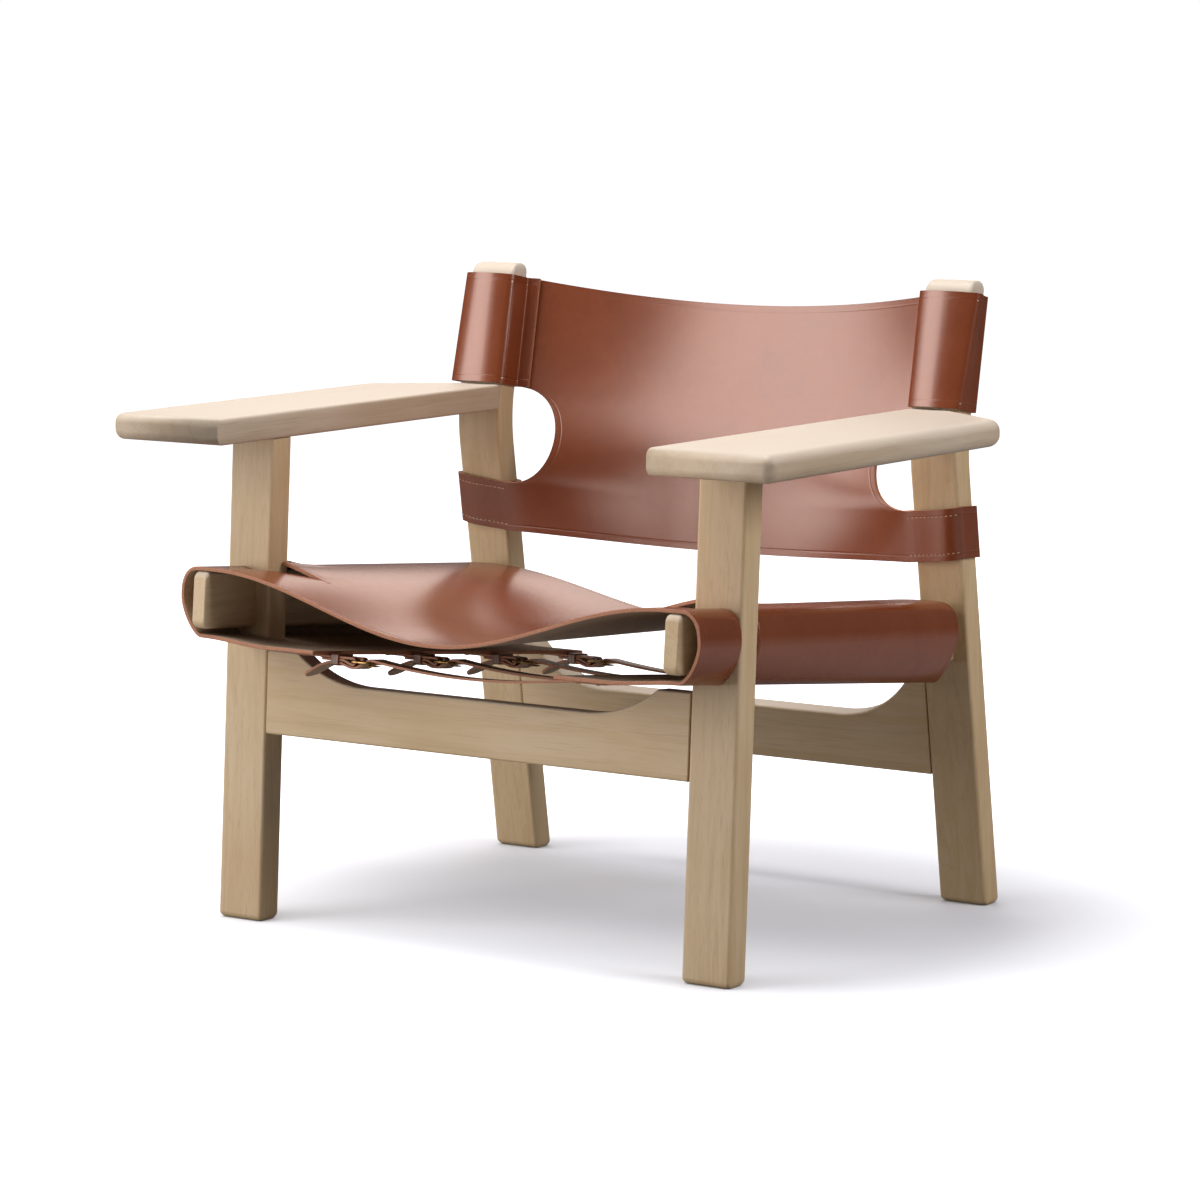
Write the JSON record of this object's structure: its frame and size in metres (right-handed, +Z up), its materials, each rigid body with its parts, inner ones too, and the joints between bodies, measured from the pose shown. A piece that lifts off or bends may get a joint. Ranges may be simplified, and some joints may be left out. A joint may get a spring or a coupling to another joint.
{
  "type": "leather sling lounge chair",
  "caption": "Low oak lounge chair with wide flat armrests, a saddle leather seat slung over sloping rails and tightened by buckled straps, and a curved leather back.",
  "frame": {"origin": "on the floor under the middle of the chair's outer box", "axes": "+X to the right as seen from the front, across the armrests; +Y to the back; +Z up"},
  "size_m": [0.825, 0.5906, 0.67],
  "materials": {
    "oak": "soap-finished oak, matt",
    "saddle_leather": "smooth vegetable-tanned saddle leather, satin",
    "strap_leather": "dark strap leather, satin",
    "bronze": "dark bronze, worn bright"
  },
  "bodies": {
    "chair": {"front_leg_left": "oak", "front_leg_right": "oak", "rear_leg_left": "oak", "rear_leg_right": "oak", "seat_rail_left": "oak", "seat_rail_right": "oak", "armrest_left": "oak", "armrest_right": "oak", "front_rail": "oak", "rear_rail": "oak", "seat_sling": "saddle_leather", "back_sling": "saddle_leather", "buckle_strap_1": "strap_leather", "billet_strap_1": "strap_leather", "buckle_frame_1": "bronze", "strap_keeper_1": "strap_leather", "buckle_strap_2": "strap_leather", "billet_strap_2": "strap_leather", "buckle_frame_2": "bronze", "strap_keeper_2": "strap_leather", "buckle_strap_3": "strap_leather", "billet_strap_3": "strap_leather", "buckle_frame_3": "bronze", "strap_keeper_3": "strap_leather", "buckle_strap_4": "strap_leather", "billet_strap_4": "strap_leather", "buckle_frame_4": "bronze", "strap_keeper_4": "strap_leather"},
    "tongue_1": {"buckle_tongue_1": "bronze"},
    "tongue_2": {"buckle_tongue_2": "bronze"},
    "tongue_3": {"buckle_tongue_3": "bronze"},
    "tongue_4": {"buckle_tongue_4": "bronze"}
  },
  "joints": [
    {"name": "tongue_hinge_1", "type": "hinge", "parent": "chair", "child": "tongue_1", "pos_m": [-0.119, -0.25134, 0.29195], "axis": [0, 0.9928, -0.12], "range_deg": [0, 35]},
    {"name": "tongue_hinge_2", "type": "hinge", "parent": "chair", "child": "tongue_2", "pos_m": [-0.119, -0.11199, 0.2751], "axis": [0, 0.9928, -0.12], "range_deg": [0, 35]},
    {"name": "tongue_hinge_3", "type": "hinge", "parent": "chair", "child": "tongue_3", "pos_m": [-0.119, 0.02737, 0.25825], "axis": [0, 0.9928, -0.12], "range_deg": [0, 35]},
    {"name": "tongue_hinge_4", "type": "hinge", "parent": "chair", "child": "tongue_4", "pos_m": [-0.119, 0.16673, 0.24139], "axis": [0, 0.9928, -0.12], "range_deg": [0, 35]}
  ]
}
